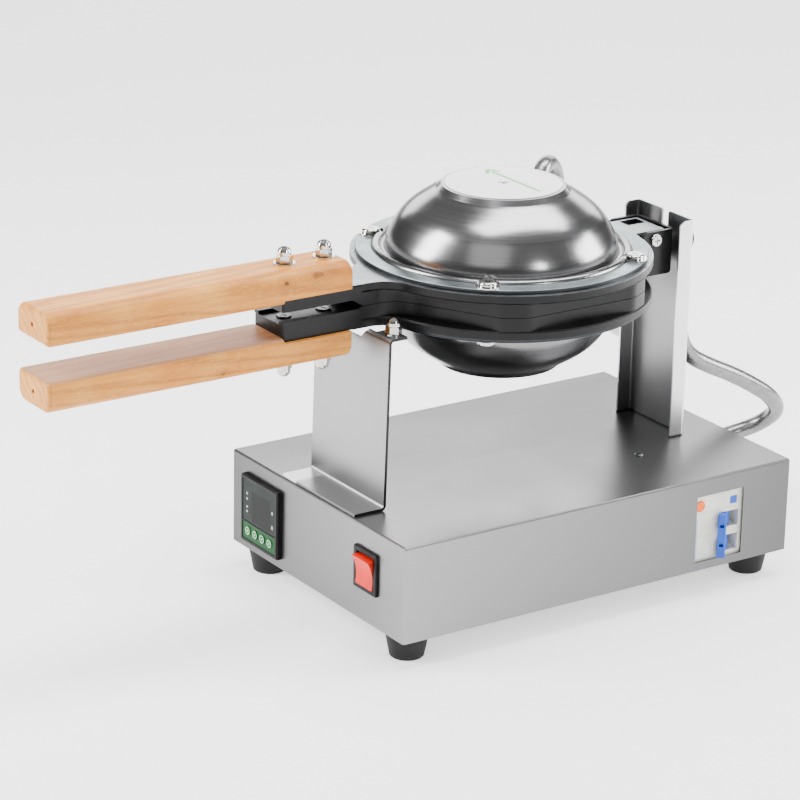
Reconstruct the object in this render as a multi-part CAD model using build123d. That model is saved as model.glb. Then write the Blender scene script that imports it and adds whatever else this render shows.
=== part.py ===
"""Tabletop waffle baker: a round two-leaf pan that turns over on a steel control base.

Millimetres, +Z up, the front with the handles and the controls towards -Y.
The origin is on the table, at the centre of the bounding box of the rigid parts.
"""
from build123d import *
from math import cos, radians, sin, sqrt, tan
import os

# ---------------------------------------------------------------- driving dimensions
BASE_WIDTH = 220.0           # control base, X
BASE_LENGTH = 330.0          # control base, Y
BASE_HEIGHT = 69.0           # control base without its feet
BASE_Y = 101.0               # centre of the base along Y
SHEET = 1.2                  # wall of the control base
FOOT_HEIGHT = 19.0
FOOT_X = 88.0
FOOT_Y = 147.0               # feet from the centre of the base along Y

AXIS_Z = FOOT_HEIGHT + 207.0     # turning axis, which is also the parting plane of the pan
PAN_Y = BASE_Y - 15.0            # centre of the round pan
FACE_GAP = 0.2                   # half of the gap between the closed leaves
RIM_RADIUS = 105.2               # round rim of each casting
WAIST_RADIUS = 104.6             # waist of each casting, round between its six flats
WAIST_FLAT = 95.0                # centre to flat
WAIST_TOP = 9.5                  # heights from the parting plane
RIM_TOP = 15.5
PLATE_TOP = 18.5
LAND = 2.4                       # baking face, below the parting face
MOULD_BACK = 11.5
MOULD_RADIUS = 88.0
NECK_HALF = 17.0
NECK_END = PAN_Y - 133.0         # where the neck becomes the tang
TANG_END = BASE_Y - 204.0
TANG_HALF = 18.0
TANG_WEB = (3.4, 11.8)
TANG_LIP = 14.8
TANG_WALL = 2.8
HANDLE_FRONT = BASE_Y - 380.0
HANDLE_REAR = BASE_Y - 151.0
HANDLE_HALF = 21.2
HANDLE_SEAT = 11.9               # underside of the wood, from the parting plane
HANDLE_TOP = 33.4
HANDLE_BOLTS = (BASE_Y - 192.0, BASE_Y - 161.0)
RING_SCREWS = (41.0, 139.0, 221.0, 319.0)
RING_SCREW_RADIUS = 94.0
WASHER_RADIUS = 8.5

HINGE_Y = BASE_Y + 103.7         # pin on which the upper leaf opens
HINGE_RISE = 10.0                # of that pin above the turning axis
HINGE_PIN = 3.0                  # radius
LUG_HALF = 17.5
LUG_END = BASE_Y + 118.25        # lower lug, against the hinge bracket's web
LUG_SWING = 14.6                 # room for the upper lug to turn in
CHEEK_OUT = 21.2                 # outer face of the hinge bracket's cheeks
BRACKET_SHEET = 2.5

POST_Y = BASE_Y + 129.0          # middle of the rear post's web
POST_HALF = 31.4
POST_TOP = FOOT_HEIGHT + 230.5
POST_SHEET = 1.5
SHAFT = 3.5                      # radius of the pivot in the rear post's slot
SLOT_HALF = 3.6

BASE_TOP = FOOT_HEIGHT + BASE_HEIGHT
FRONT = BASE_Y - BASE_LENGTH / 2
REAR = BASE_Y + BASE_LENGTH / 2
SIDE = BASE_WIDTH / 2


# ---------------------------------------------------------------- helpers
def block(x, y, z):
    """Box between two X, two Y and two Z places."""
    size = (x[1] - x[0], y[1] - y[0], z[1] - z[0])
    middle = ((x[0] + x[1]) / 2, (y[0] + y[1]) / 2, (z[0] + z[1]) / 2)
    return Pos(*middle) * Box(*size)


def drum(radius, low, high, x=0.0, y=PAN_Y):
    """Upright cylinder between two heights."""
    return Pos(x, y, (low + high) / 2) * Cylinder(radius, high - low)


def rod(axis, radius, start, end, a, b):
    """Cylinder along X or Y: a and b are its other two coordinates in X, Y, Z order."""
    middle = (start + end) / 2
    if axis == "X":
        return Pos(middle, a, b) * Rot(0, 90, 0) * Cylinder(radius, abs(end - start))
    return Pos(a, middle, b) * Rot(90, 0, 0) * Cylinder(radius, abs(end - start))


def spin(points, x=0.0, y=PAN_Y, z=0.0):
    """Solid of revolution about an upright axis, from (radius, height) corners."""
    face = make_face(Polyline(*[(r, 0, h) for r, h in points], close=True))
    return Pos(x, y, z) * revolve(face, Axis.Z)


def below(shape):
    """The lower leaf's copy of an upper leaf's shape."""
    solids = [mirror(solid, about=Plane.XY.offset(AXIS_Z)) for solid in shape.solids()]
    return solids[0] if len(solids) == 1 else group(solids)


def up(height):
    """Height above the turning axis as a height above the table."""
    return AXIS_Z + height


def hexagon(across, low, high, x, y):
    """Upright hexagonal bar."""
    return Pos(x, y, low) * extrude(RegularPolygon(across / sqrt(3), 6), high - low)


def acorn_nut(x, y, seat):
    """M6 domed nut that stands on a seat height."""
    nut = hexagon(10.0, seat, seat + 5.2, x, y) - drum(3.0, seat, seat + 5.0, x, y)
    dome = spin([(0, 5.1), (4.75, 5.1), (4.75, 7.6), (4.2, 9.3), (2.9, 10.6), (1.2, 11.2), (0, 11.3)],
                x, y, seat)
    return nut + dome


def washer(outer, inner, low, high, x, y):
    return drum(outer, low, high, x, y) - drum(inner, low - 1, high + 1, x, y)


def cross_recess(depth, size=3.6):
    """Phillips recess as a tool, centred on the origin and sunk below it."""
    slot = Pos(0, 0, -depth / 2) * Box(size, 0.9, depth)
    return slot + Rot(0, 0, 90) * slot


def pan_head(radius, height, shank, length):
    """Screw along -Z, its head standing on the origin plane."""
    head = Cylinder(radius, height, align=(Align.CENTER, Align.CENTER, Align.MIN))
    head = fillet(head.edges().sort_by(Axis.Z)[-1], height * 0.55)
    body = Cylinder(shank, length, align=(Align.CENTER, Align.CENTER, Align.MAX))
    return head + body - Pos(0, 0, height) * cross_recess(height * 0.6, radius * 1.1)


def group(solids):
    return Compound(children=list(solids))


# ---------------------------------------------------------------- control base
CONTROL_X = -68.2            # temperature controller, centre
CONTROL_Z = FOOT_HEIGHT + 32.0
CONTROL_SIZE = (49.0, 51.0)
CONTROL_HOLE = 22.6
ROCKER_X = 65.0
ROCKER_Z = FOOT_HEIGHT + 38.0
ROCKER_SIZE = (28.0, 30.5)
ROCKER_HOLE = (12.2, 13.6)
BREAKER_Y = BASE_Y + 102.2
BREAKER_WINDOW_Z = FOOT_HEIGHT + 31.0
BREAKER_WINDOW = (20.8, 24.8)
FLANGE_SCREW = (48.9, BASE_Y + 75.5)
GLAND_X = -35.0
GLAND_Z = FOOT_HEIGHT + 28.4
INLET_X = 45.0
INLET_Z = FOOT_HEIGHT + 42.5
VENT_COUNT = 7


def base_shell():
    outer = block((-SIDE, SIDE), (FRONT, REAR), (FOOT_HEIGHT, BASE_TOP))
    outer = fillet(outer.edges().filter_by(Axis.Z), 2.0)
    outer = fillet(outer.faces().sort_by(Axis.Z)[-1].edges(), 1.6)
    inner = block((-SIDE + SHEET, SIDE - SHEET), (FRONT + SHEET, REAR - SHEET),
                  (FOOT_HEIGHT - 1, BASE_TOP - SHEET))
    shell = outer - inner
    lip = block((-SIDE + 1, SIDE - 1), (FRONT + 1, REAR - 1), (FOOT_HEIGHT + 1.6, FOOT_HEIGHT + 2.8))
    lip -= block((-SIDE + 13, SIDE - 13), (FRONT + 13, REAR - 13), (FOOT_HEIGHT, FOOT_HEIGHT + 4))
    shell += lip
    shell -= block((CONTROL_X - CONTROL_HOLE, CONTROL_X + CONTROL_HOLE), (FRONT - 2, FRONT + 4),
                   (CONTROL_Z - CONTROL_HOLE, CONTROL_Z + CONTROL_HOLE))
    shell -= block((ROCKER_X - ROCKER_HOLE[0], ROCKER_X + ROCKER_HOLE[0]), (FRONT - 2, FRONT + 4),
                   (ROCKER_Z - ROCKER_HOLE[1], ROCKER_Z + ROCKER_HOLE[1]))
    shell -= block((SIDE - 4, SIDE + 2), (BREAKER_Y - BREAKER_WINDOW[0], BREAKER_Y + BREAKER_WINDOW[0]),
                   (BREAKER_WINDOW_Z - BREAKER_WINDOW[1], BREAKER_WINDOW_Z + BREAKER_WINDOW[1]))
    shell -= rod("Y", 8.0, REAR - 4, REAR + 2, GLAND_X, GLAND_Z)
    shell -= rod("Y", 6.2, REAR - 4, REAR + 2, INLET_X, INLET_Z)
    for x, y in POST_SCREWS:
        shell -= drum(2.1, BASE_TOP - 4, BASE_TOP + 2, x, y)
    shell -= drum(2.0, BASE_TOP - 4, BASE_TOP + 2, *FLANGE_SCREW)
    for x, y in lip_screw_places():
        shell -= drum(1.5, FOOT_HEIGHT, FOOT_HEIGHT + 5, x, y)
    for i in range(VENT_COUNT):
        y = BASE_Y - 54 + 18 * i
        shell -= block((-SIDE - 2, -SIDE + 4), (y - 6, y + 6), (BASE_TOP - 24, BASE_TOP - 21.5))
    return shell


def lip_screw_places():
    """Screws that hold the bottom plate to the shell's inward lips."""
    return [(x, y) for x in (-SIDE + 7, SIDE - 7) for y in (BASE_Y - 100, BASE_Y, BASE_Y + 100)]


def foot_places():
    return [(x, BASE_Y + y) for x in (-FOOT_X, FOOT_X) for y in (-FOOT_Y, FOOT_Y)]


def bottom_plate():
    plate = block((-SIDE + 1.5, SIDE - 1.5), (FRONT + 1.5, REAR - 1.5), (FOOT_HEIGHT, FOOT_HEIGHT + 1.5))
    for x, y in foot_places():
        plate -= drum(2.6, 0, 40, x, y)
    for x, y in lip_screw_places():
        plate -= drum(1.8, 0, 40, x, y)
    for i in range(-4, 5):
        plate -= block((-30, 30), (BASE_Y + 14 * i - 1.5, BASE_Y + 14 * i + 1.5), (0, 40))
    return plate


def rubber_feet():
    profile = [(2.7, 8), (6.2, 8), (6.2, 0), (11.2, 0), (12.0, 0.8), (15.0, FOOT_HEIGHT - 3),
               (15.0, FOOT_HEIGHT), (2.7, FOOT_HEIGHT)]
    return group(spin(profile, x, y) for x, y in foot_places())


def foot_screws():
    """M5 screws whose heads sit up inside the feet, with their nuts inside the base."""
    low = FOOT_HEIGHT + 1.5
    solids = []
    for x, y in foot_places():
        solids.append(Pos(x, y, 8) * Rot(180, 0, 0) * pan_head(4.6, 3.2, 2.5, 19))
        solids.append(hexagon(8.0, low, low + 3.9, x, y) - drum(2.55, low - 1, 40, x, y))
    return group(solids)


def bottom_screws():
    screw = Rot(180, 0, 0) * pan_head(3.2, 2.0, 1.45, 4.4)
    return group(Pos(x, y, FOOT_HEIGHT) * screw for x, y in lip_screw_places())


# ---------------------------------------------------------------- supports
FRONT_HALF = 45.7
FRONT_SHEET = 2.0
FRONT_FOOT = (BASE_Y - 163.2, BASE_Y - 138.8)
FRONT_LEAN = 2.4
FRONT_TOP = FOOT_HEIGHT + 190.8
EAR_INNER = 26.0
EAR_DEPTH = 13.4
GUIDE_X = 37.0
GUIDE_Y = BASE_Y - 128.5
NECK_SWEEP = 24.4            # radius that the neck sweeps, with its clearance
POST_SCREWS = [(-9.0, POST_Y + 6.5), (9.0, POST_Y + 6.5)]


def front_support():
    """Sheet post with a foot forwards and two ears folded backwards beside the neck."""
    low = BASE_TOP + FRONT_SHEET / 2
    top = FRONT_TOP - FRONT_SHEET / 2
    foot_y, bend_y = FRONT_FOOT
    top_y = bend_y + FRONT_LEAN
    with BuildSketch(Plane.YZ) as section:
        with BuildLine():
            FilletPolyline((foot_y, low), (bend_y, low), (top_y, top), (top_y + EAR_DEPTH, top), radius=2.6)
        trace(line_width=FRONT_SHEET)
    sheet = Pos(-FRONT_HALF, 0, 0) * extrude(section.sketch, 2 * FRONT_HALF, dir=(1, 0, 0))
    ears_gap = block((-EAR_INNER, EAR_INNER), (top_y + 1.6, top_y + 30), (FRONT_TOP - 8, FRONT_TOP + 5))
    sheet -= ears_gap
    corner = NECK_SWEEP * tan(radians(22.5))
    rise = FRONT_TOP + 3 - (AXIS_Z - NECK_SWEEP)
    notch = Polyline((-corner, AXIS_Z - NECK_SWEEP), (corner, AXIS_Z - NECK_SWEEP),
                     (corner + rise, FRONT_TOP + 3), (-corner - rise, FRONT_TOP + 3), close=True)
    sheet -= extrude(make_face(Plane.XZ.offset(10 - top_y) * notch), 40, dir=(0, 1, 0))
    for x in (-GUIDE_X, GUIDE_X):
        sheet -= drum(3.05, FRONT_TOP - 10, FRONT_TOP + 10, x, GUIDE_Y)
    return sheet


def guide_nuts():
    """M6 domed nuts, washers and thin-headed studs on the ears, which guide the pan's neck."""
    under = FRONT_TOP - FRONT_SHEET
    solids = []
    for x in (-GUIDE_X, GUIDE_X):
        solids.append(washer(5.6, 3.05, FRONT_TOP, FRONT_TOP + 1.0, x, GUIDE_Y))
        solids.append(acorn_nut(x, GUIDE_Y, FRONT_TOP + 1.0))
        stud = drum(2.95, under, FRONT_TOP + 5.6, x, GUIDE_Y)
        solids.append(stud + drum(3.5, under - 1.2, under, x, GUIDE_Y))
    return group(solids)


def rear_support():
    """Channel post with an open slot at the top of its web, and a foot behind."""
    front = BASE_Y + 116.8
    with BuildSketch(Plane.XY.offset(BASE_TOP)) as plan:
        with BuildLine():
            FilletPolyline((-POST_HALF, front), (-POST_HALF, POST_Y), (POST_HALF, POST_Y),
                           (POST_HALF, front), radius=2.2)
        trace(line_width=POST_SHEET)
    post = extrude(plan.sketch, POST_TOP - BASE_TOP)
    corner = 5.0
    for side in (-1, 1):
        edge = post.edges().filter_by(Axis.X).filter_by(
            lambda e, s=side: abs(e.center().Y - front) < 0.1 and e.center().Z > POST_TOP - 0.1
            and e.center().X * s > 0)
        post = fillet(edge, corner)
    web_low, web_high = POST_Y - POST_SHEET, POST_Y + POST_SHEET
    slot = block((-SLOT_HALF, SLOT_HALF), (web_low, web_high), (AXIS_Z, POST_TOP + 5))
    slot += rod("Y", SLOT_HALF, web_low, web_high, 0, AXIS_Z)
    post -= slot
    mouth = post.edges().filter_by(Axis.Y).filter_by(
        lambda e: abs(abs(e.center().X) - SLOT_HALF) < 0.01 and e.center().Z > POST_TOP - 0.1)
    post = fillet(mouth, 2.0)
    foot = block((-16, 16), (POST_Y - POST_SHEET / 2, POST_Y + 11), (BASE_TOP, BASE_TOP + POST_SHEET))
    foot = fillet(foot.edges().filter_by(Axis.Z).group_by(Axis.Y)[-1], 3)
    post += foot
    for x, y in POST_SCREWS:
        post -= drum(2.1, BASE_TOP - 1, BASE_TOP + 5, x, y)
    return post - rod("Y", 1.8, web_low, web_high, 0, ELBOW_SCREW_Z)


def post_screws():
    """M4 screws through the rear foot, with their nuts under the base's top."""
    solids = []
    for x, y in POST_SCREWS:
        screw = pan_head(3.8, 2.4, 2.0, 9)
        solids.append(Pos(x, y, BASE_TOP + POST_SHEET) * screw)
        low, high = BASE_TOP - SHEET - 3.2, BASE_TOP - SHEET
        solids.append(hexagon(7.0, low, high, x, y) - drum(2.05, low - 1, high + 1, x, y))
    return group(solids)


def side_tab():
    """Small plate welded to the left side of the rear post, for tying leads."""
    low, high = FOOT_HEIGHT + 127.0, FOOT_HEIGHT + 166.0
    outer = POST_HALF + POST_SHEET / 2
    tab = block((-outer - 13.0, -outer), (BASE_Y + 117.2, BASE_Y + 118.7), (low, high))
    tab = fillet(tab.edges().filter_by(Axis.Y).group_by(Axis.X)[0], 4)
    return tab - rod("Y", 2.0, BASE_Y + 110, BASE_Y + 125, -outer - 6.5, high - 8)


# ---------------------------------------------------------------- controls on the front
BEZEL_DEPTH = 4.0


def controller_housing():
    """Box of the temperature controller behind the panel, with its clamp ears."""
    half = 22.2
    box = block((CONTROL_X - half, CONTROL_X + half), (FRONT, FRONT + 72),
                (CONTROL_Z - half, CONTROL_Z + half))
    ear = block((CONTROL_X - half - 4, CONTROL_X + half + 4), (FRONT + 8, FRONT + 26),
                (CONTROL_Z - 5, CONTROL_Z + 5))
    return box + ear


def controller_bezel():
    """Frame with a sunk dark window above and a key strip below."""
    wide, tall = CONTROL_SIZE[0] / 2, CONTROL_SIZE[1] / 2
    frame = block((CONTROL_X - wide, CONTROL_X + wide), (FRONT - BEZEL_DEPTH, FRONT),
                  (CONTROL_Z - tall, CONTROL_Z + tall))
    frame = fillet(frame.edges().filter_by(Axis.Y), 2.0)
    frame = chamfer(frame.faces().sort_by(Axis.Y)[0].edges(), 1.0)
    window = block(*WINDOW_BOX)
    strip = block(*STRIP_BOX)
    return frame - window - strip


WINDOW_BOX = ((CONTROL_X - 21.8, CONTROL_X + 21.8), (FRONT - BEZEL_DEPTH - 1, FRONT - 1.4),
              (CONTROL_Z - 9.0, CONTROL_Z + 22.6))
STRIP_BOX = ((CONTROL_X - 21.8, CONTROL_X + 21.8), (FRONT - BEZEL_DEPTH - 1, FRONT - 1.0),
             (CONTROL_Z - 22.6, CONTROL_Z - 9.6))
KEY_RADIUS = 3.3
KEY_TRAVEL = 0.8


def key_places():
    return [(CONTROL_X + 9.6 * (i - 1.5), CONTROL_Z - 15.6) for i in range(4)]


def controller_window():
    x, y, z = WINDOW_BOX
    return block((x[0] + 0.1, x[1] - 0.1), (FRONT - 3.6, y[1]), (z[0] + 0.1, z[1] - 0.1))


def key_strip():
    x, y, z = STRIP_BOX
    strip = block((x[0] + 0.1, x[1] - 0.1), (FRONT - 3.5, y[1]), (z[0] + 0.1, z[1] - 0.1))
    for kx, kz in key_places():
        strip -= rod("Y", KEY_RADIUS + 0.15, FRONT - 5, FRONT - 1.6, kx, kz)
    return strip


def controller_key(index):
    kx, kz = key_places()[index]
    key = rod("Y", KEY_RADIUS, FRONT - 4.3, FRONT - 2.6, kx, kz)
    return fillet(key.edges().sort_by(Axis.Y)[0], 0.5)


def rocker_housing():
    """Switch body: a bezel on the panel and a box behind it, hollow for the rocker."""
    wide, tall = ROCKER_SIZE[0] / 2, ROCKER_SIZE[1] / 2
    bezel = block((ROCKER_X - wide, ROCKER_X + wide), (FRONT - 2.2, FRONT), (ROCKER_Z - tall, ROCKER_Z + tall))
    bezel = fillet(bezel.edges().filter_by(Axis.Y), 1.5)
    bezel = fillet(bezel.faces().sort_by(Axis.Y)[0].edges(), 0.8)
    box = block((ROCKER_X - 11.9, ROCKER_X + 11.9), (FRONT - 0.5, FRONT + 24),
                (ROCKER_Z - 13.3, ROCKER_Z + 13.3))
    pocket = block((ROCKER_X - 10.2, ROCKER_X + 10.2), (FRONT - 6, FRONT + 15),
                   (ROCKER_Z - 11.8, ROCKER_Z + 11.8))
    tabs = [block((ROCKER_X + x - 3, ROCKER_X + x + 3), (FRONT + 24, FRONT + 32),
                  (ROCKER_Z + z - 0.4, ROCKER_Z + z + 0.4)) for x in (-6, 6) for z in (-7, 7)]
    pins = rod("X", 1.4, ROCKER_X - 11, ROCKER_X - 8.2, FRONT + ROCKER_PIVOT, ROCKER_Z)
    pins += rod("X", 1.4, ROCKER_X + 8.2, ROCKER_X + 11, FRONT + ROCKER_PIVOT, ROCKER_Z)
    return (bezel - pocket) + (box - pocket) + tabs[0] + tabs[1] + tabs[2] + tabs[3] + pins


ROCKER_PIVOT = 2.0           # behind the panel's face
ROCKER_TILT = 9.0            # each way from level


def rocker_paddle():
    """Hollow-faced paddle, at rest with its upper end out."""
    with BuildSketch(Plane.YZ) as section:
        with BuildLine():
            face = ThreePointArc((-6.6, -10.6), (-4.6, 0), (-6.6, 10.6))
            Polyline(face @ 1, (4.6, 9.2), (7.0, 4.0), (7.0, -4.0), (4.6, -9.2), face @ 0)
        make_face()
    paddle = Pos(-9.9, 0, 0) * extrude(section.sketch, 19.8, dir=(1, 0, 0))
    paddle -= rod("X", 1.46, -12, 12, 0, 0)
    paddle = Rot(ROCKER_TILT, 0, 0) * paddle
    return Pos(ROCKER_X, FRONT + ROCKER_PIVOT, ROCKER_Z) * paddle


# ---------------------------------------------------------------- breaker on the side
BREAKER_FACE = SIDE - SHEET - 1.2
BREAKER_LOW, BREAKER_HIGH = FOOT_HEIGHT + 5.0, FOOT_HEIGHT + 65.0
BREAKER_BACK = SIDE - 67.0
SHOULDER = SIDE - 44.0       # where the narrow nose starts
POLE = 18.0                  # width of one pole
TOGGLE_X = BREAKER_FACE - 6.0
TOGGLE_Y = BREAKER_Y + 9.7
TOGGLE_Z = FOOT_HEIGHT + 24.2
TOGGLE_TILT = 40.0           # from straight out, at rest
TEST_Y = BREAKER_Y - 16.2
TEST_Z = FOOT_HEIGHT + 47.6
FLAG_Y = BREAKER_Y + 13.6
FLAG_Z = FOOT_HEIGHT + 47.2
RAIL_BACK, RAIL_FRONT = SIDE - 69.5, SIDE - 62.0


def breaker_body():
    """Two poles and a residual-current part, one above the other behind the side window."""
    tall = (BREAKER_LOW, BREAKER_HIGH)
    body = block((SHOULDER, BREAKER_FACE), (BREAKER_Y - 22.5, BREAKER_Y + 22.5), tall)
    body = chamfer(body.faces().sort_by(Axis.X)[-1].edges(), 0.5)
    body += block((BREAKER_BACK, SHOULDER), (BREAKER_Y - 39.5, BREAKER_Y + 40.5), tall)
    body -= block((BREAKER_BACK - 1, RAIL_FRONT + 0.1), (BREAKER_Y - 17.7, BREAKER_Y + 17.7), (0, BASE_TOP))
    for z in (TOGGLE_Z - POLE / 2, TOGGLE_Z + POLE / 2):
        body -= block((TOGGLE_X - 6, SIDE), (TOGGLE_Y - 9, TOGGLE_Y + 9), (z - 6, z + 6))
        body += drum(1.5, z - 6.5, z + 6.5, TOGGLE_X, TOGGLE_Y)
        body -= block((BREAKER_FACE - 0.3, SIDE), (BREAKER_Y - 25, BREAKER_Y + 25), (z + 8.8, z + 9.2))
    return body - rod("X", 4.2, BREAKER_FACE - 6.6, SIDE, TEST_Y, TEST_Z)


def breaker_toggle():
    """Two levers on upright pins, tied by one tall bar with a square hole at each pole."""
    toggle = block((12.0, 15.6), (-3.0, 3.0), (-17.2, 15.6))
    toggle = chamfer(toggle.faces().sort_by(Axis.X)[-1].edges(), 0.6)
    for z in (-POLE / 2, POLE / 2):
        toggle += Pos(0, 0, z) * (Cylinder(4.4, 11) + Pos(6.5, 0, 0) * Box(12, 4.4, 11))
        toggle -= Pos(14.6, 0, z * 0.8) * Box(4, 2.8, 2.8)
    toggle -= Cylinder(1.56, 40)
    return Pos(TOGGLE_X, TOGGLE_Y, TOGGLE_Z) * Rot(0, 0, -TOGGLE_TILT) * toggle


def breaker_test_button():
    button = rod("X", 4.0, BREAKER_FACE - 4.8, BREAKER_FACE + 0.9, TEST_Y, TEST_Z)
    return fillet(button.edges().sort_by(Axis.X)[-1], 0.5)


def breaker_indicator():
    """Small square flag in the upper corner of the breaker."""
    return block((BREAKER_FACE, BREAKER_FACE + 0.4), (FLAG_Y - 2.8, FLAG_Y + 2.8), (FLAG_Z - 2.8, FLAG_Z + 2.8))


def din_rail():
    """Upright top-hat rail, 35 mm, on a bracket that hangs from the base's top."""
    tall = (BREAKER_LOW, BREAKER_HIGH)
    rail = block((RAIL_BACK, RAIL_BACK + 1.2), (BREAKER_Y - 13, BREAKER_Y + 13), tall)
    for side in (-1, 1):
        web = sorted((BREAKER_Y + side * 12, BREAKER_Y + side * 13.2))
        lip = sorted((BREAKER_Y + side * 12, BREAKER_Y + side * 17.5))
        rail += block((RAIL_BACK, RAIL_FRONT), web, tall)
        rail += block((RAIL_FRONT - 1.2, RAIL_FRONT), lip, tall)
    under = BASE_TOP - SHEET
    rail += block((RAIL_BACK - 1.4, RAIL_BACK), (BREAKER_Y - 34, BREAKER_Y + 10), (under - 26, under))
    shelf = block((RAIL_BACK - 1.4, RAIL_BACK + 13), (BREAKER_Y - 34, BREAKER_Y - 20), (under - 1.4, under))
    return rail + shelf - drum(2.0, under - 5, BASE_TOP, *FLANGE_SCREW)


def rail_screw():
    return Pos(*FLANGE_SCREW, BASE_TOP) * pan_head(3.0, 1.3, 1.9, 3.6)


# ---------------------------------------------------------------- wiring inside the base
TERMINAL_X = -25.0


def power_relay():
    """Solid-state relay on its aluminium heat sink, on the bottom plate."""
    floor = FOOT_HEIGHT + 1.5
    sink = block((-75, -25), (BASE_Y + 30, BASE_Y + 100), (floor, floor + 5))
    for i in range(6):
        x = -73 + 9 * i
        sink += block((x, x + 1.6), (BASE_Y + 30, BASE_Y + 100), (floor + 5, floor + 14))
    return sink


def relay_block():
    low = FOOT_HEIGHT + 1.5 + 14
    body = block((-72, -28), (BASE_Y + 36, BASE_Y + 94), (low, low + 22))
    return fillet(body.edges().filter_by(Axis.Z), 3)


def terminal_block():
    """Row of brass-screwed terminals for the heater and mains leads."""
    floor = FOOT_HEIGHT + 1.5
    body = block((-30, 34), (BASE_Y + 110, BASE_Y + 132), (floor, floor + 16))
    for i in range(6):
        x = TERMINAL_X + 10.8 * i
        body -= block((x - 3.6, x + 3.6), (BASE_Y + 108, BASE_Y + 116), (floor + 5, floor + 17))
        body -= block((x - 3.6, x + 3.6), (BASE_Y + 126, BASE_Y + 134), (floor + 5, floor + 17))
        body -= drum(1.3, floor + 6, floor + 17, x, BASE_Y + 121)
    return body


def terminal_screws():
    floor = FOOT_HEIGHT + 1.5
    screw = Pos(0, 0, floor + 16) * pan_head(2.6, 1.4, 1.2, 8)
    return group(Pos(TERMINAL_X + 10.8 * i, BASE_Y + 121, 0) * screw for i in range(6))


# ---------------------------------------------------------------- one leaf of the pan
def outline(shape, neck_fillet):
    """A round or hexagonal plan joined to the neck with hollow fillets."""
    neck = Pos(0, (NECK_END + PAN_Y) / 2) * Rectangle(2 * NECK_HALF, PAN_Y - NECK_END)
    plan = Sketch() + (shape + neck)
    inner = plan.vertices().filter_by(
        lambda v: abs(abs(v.X) - NECK_HALF) < 0.01 and v.Y > NECK_END + 1 and v.Y < PAN_Y)
    return fillet(inner, neck_fillet)


def round_plan():
    return outline(Pos(0, PAN_Y) * Circle(RIM_RADIUS), 20.0)


def waist_plan():
    """Round waist with six flats, the corners between them left flush with the rim."""
    waist = Circle(WAIST_RADIUS) & RegularPolygon(WAIST_FLAT, 6, major_radius=False, rotation=30)
    waist = fillet(waist.vertices().sort_by(Axis.Y)[2:], 14.0)
    return outline(Pos(0, PAN_Y) * waist, 22.0)


def leaf_casting(tang_low):
    """Upper casting: waist, round rim, neck and the lipped tang that holds the wood."""
    body = Pos(0, 0, up(FACE_GAP)) * extrude(waist_plan(), WAIST_TOP - FACE_GAP)
    rim = Pos(0, 0, up(WAIST_TOP)) * extrude(round_plan(), RIM_TOP - WAIST_TOP)
    body += chamfer(rim.faces().sort_by(Axis.Z)[0].edges(), 1.0)
    tang_y = (TANG_END, NECK_END + 6)
    web = block((-TANG_HALF, TANG_HALF), tang_y, (up(tang_low), up(TANG_WEB[1])))
    lips = block((-TANG_HALF, TANG_HALF), tang_y, (up(TANG_WEB[1]), up(TANG_LIP)))
    lips -= block((-TANG_HALF + TANG_WALL, TANG_HALF - TANG_WALL), (TANG_END - 1, NECK_END),
                  (up(TANG_WEB[1]), up(TANG_LIP)))
    tang = web + lips
    tang = chamfer(tang.edges().filter_by(Axis.Z).group_by(Axis.Y)[0], 1.2)
    ramp = Polyline((NECK_END - 1, up(FACE_GAP - 1)), (NECK_END + 9, up(FACE_GAP - 1)),
                    (NECK_END - 1, up(tang_low)), close=True)
    ramp = Pos(-TANG_HALF - 2, 0, 0) * extrude(make_face(Plane.YZ * ramp), 2 * TANG_HALF + 4, dir=(1, 0, 0))
    body = body + tang - ramp
    turn = radians(HOSE_ANGLE)
    boss = (HOSE_BOSS * cos(turn), PAN_Y + HOSE_BOSS * sin(turn))
    body += drum(8.5, up(2.0), up(RIM_TOP), *boss)
    body -= drum(4.4, up(1.0), up(RIM_TOP + 1), *boss)
    body -= drum(MOULD_RADIUS + 0.1, up(0), up(MOULD_BACK))
    body -= drum(84.0, up(MOULD_BACK - 1), up(RIM_TOP + 1))
    for y in HANDLE_BOLTS:
        body -= drum(3.05, up(0), up(30), 0, y)
    for angle in RING_SCREWS:
        x, y = ring_place(angle)
        body -= drum(2.0, up(4), up(RIM_TOP + 1), x, y)
    return body


def ring_place(angle):
    """Place of a ring screw at this angle round the pan."""
    turn = radians(angle)
    return RING_SCREW_RADIUS * cos(turn), PAN_Y + RING_SCREW_RADIUS * sin(turn)


def rear_lug(low, high, end):
    """Lug behind the rim, with rounded rear corners."""
    lug = block((-LUG_HALF, LUG_HALF), (PAN_Y + 95, end), (up(low), up(high)))
    return fillet(lug.edges().filter_by(Axis.Z).group_by(Axis.Y)[-1], 3)


def upper_casting():
    """The lug rises behind the parting plane, so that it can turn on the hinge pin."""
    body = leaf_casting(5.6)
    lug = rear_lug(FACE_GAP, RIM_TOP, HINGE_Y + 13.0)
    lug = chamfer(lug.edges().filter_by(Axis.X).group_by(Axis.Y)[-1].sort_by(Axis.Z)[-1], 1.5)
    body += lug
    body -= drum(MOULD_RADIUS + 0.1, up(0), up(MOULD_BACK))
    heel = block((-LUG_HALF - 1, LUG_HALF + 1), (HINGE_Y - 1, HINGE_Y + 20), (up(-5), up(HINGE_RISE - 3)))
    heel -= rod("X", 6.0, -LUG_HALF - 2, LUG_HALF + 2, HINGE_Y, up(HINGE_RISE))
    body -= heel
    body -= block((-14.0, -3.0), (HINGE_Y - 6.0, HINGE_Y + 9.5), (up(-1), up(RIM_TOP + 1)))
    body -= rod("X", HINGE_PIN + 0.05, -40, 40, HINGE_Y, up(HINGE_RISE))
    return body


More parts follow.
